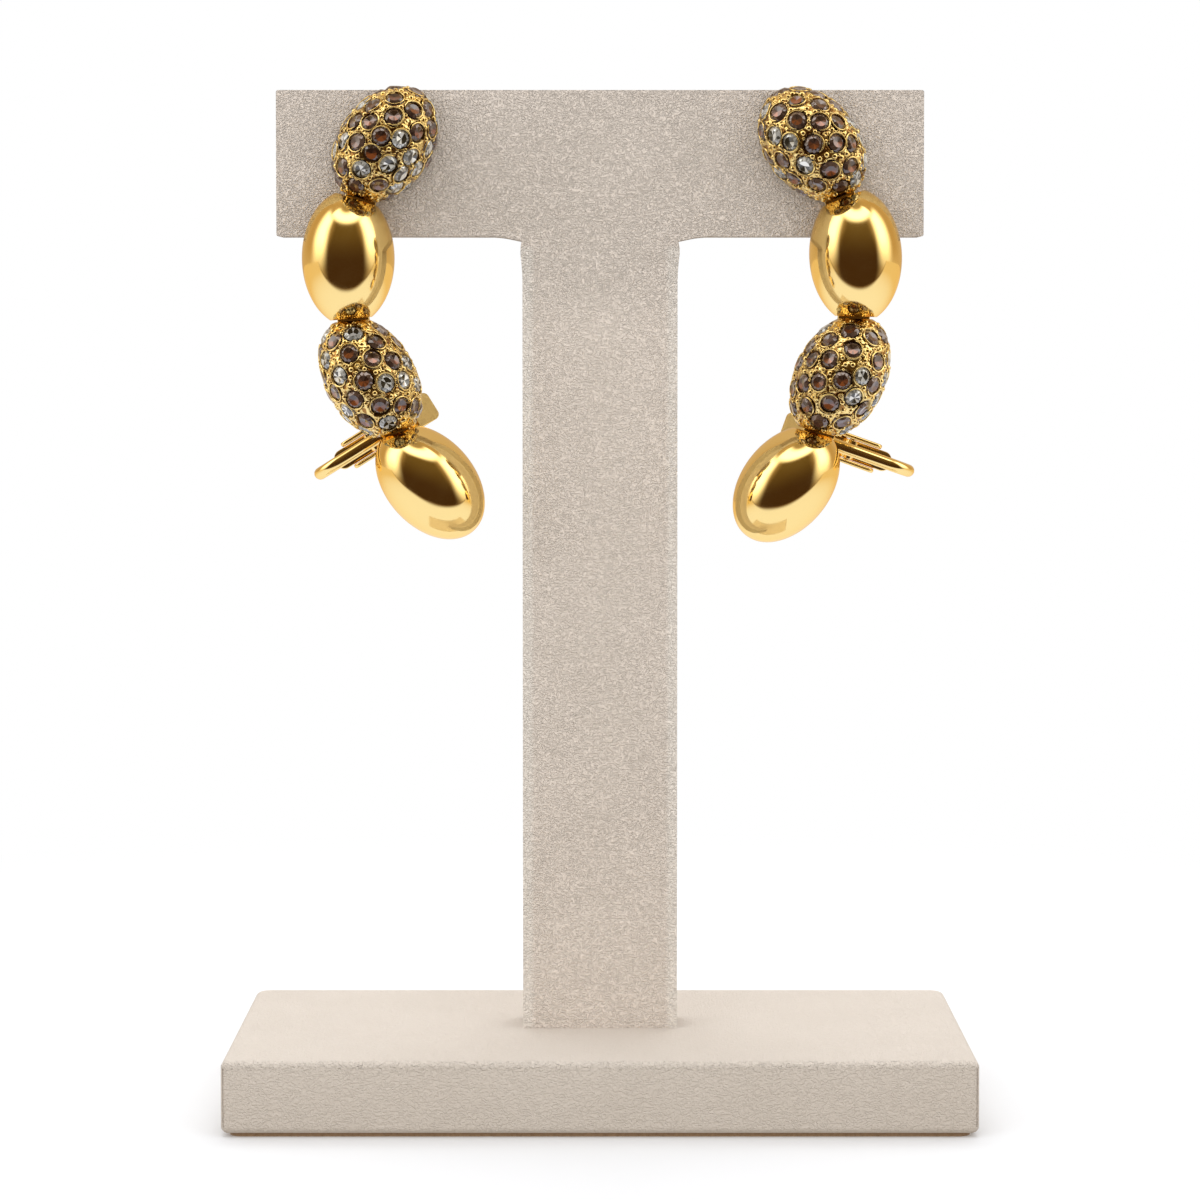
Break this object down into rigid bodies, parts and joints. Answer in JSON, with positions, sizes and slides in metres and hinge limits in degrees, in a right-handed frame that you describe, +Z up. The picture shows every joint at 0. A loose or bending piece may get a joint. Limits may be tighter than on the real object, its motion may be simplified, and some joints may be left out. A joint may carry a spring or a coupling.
{
  "type": "pair of ear cuffs on a display stand",
  "caption": "Pair of curved ear cuffs, each a row of paved and polished egg domes with a sprung clip behind, pinned to a T-shaped stand.",
  "frame": {"origin": "middle of the stand's underside", "axes": "+Z up, front towards -Y, +X to the right"},
  "size_m": [0.101, 0.0514, 0.1406],
  "materials": {
    "leatherette": "beige, fine grain, satin",
    "brown_lining": "dark brown, matt",
    "polished_gold": "gold plated, mirror polish",
    "paved_gold": "gold plated, cast beads, darkened in the recesses",
    "brown_crystal": "smoky brown, faceted, foil backed",
    "clear_crystal": "clear grey, faceted, foil backed"
  },
  "bodies": {
    "stand": {"base_pad": "brown_lining", "stand_base": "leatherette", "stand_board": "leatherette", "pave_dome_top_left": "paved_gold", "smooth_dome_upper_left": "polished_gold", "pave_dome_lower_left": "paved_gold", "smooth_dome_bottom_left": "polished_gold", "back_bar_left": "polished_gold", "pave_dome_top_right": "paved_gold", "smooth_dome_upper_right": "polished_gold", "pave_dome_lower_right": "paved_gold", "smooth_dome_bottom_right": "polished_gold", "back_bar_right": "polished_gold"},
    "clip_left": {"clip_lever_left": "polished_gold", "hinge_pin_left": "polished_gold"},
    "clip_right": {"clip_lever_right": "polished_gold", "hinge_pin_right": "polished_gold"}
  },
  "joints": [
    {"name": "clip_hinge_left", "type": "hinge", "parent": "stand", "child": "clip_left", "pos_m": [-0.03169, 0.003, 0.09184], "axis": [-0.5299, 0, 0.848], "range_deg": [0, 70], "stiffness_Nm_per_rad": 0.002, "springref_deg": -28.65},
    {"name": "clip_hinge_right", "type": "hinge", "parent": "stand", "child": "clip_right", "pos_m": [0.03487, 0.003, 0.09063], "axis": [-0.3387, 0, -0.9409], "range_deg": [0, 70], "stiffness_Nm_per_rad": 0.002, "springref_deg": -28.65}
  ]
}
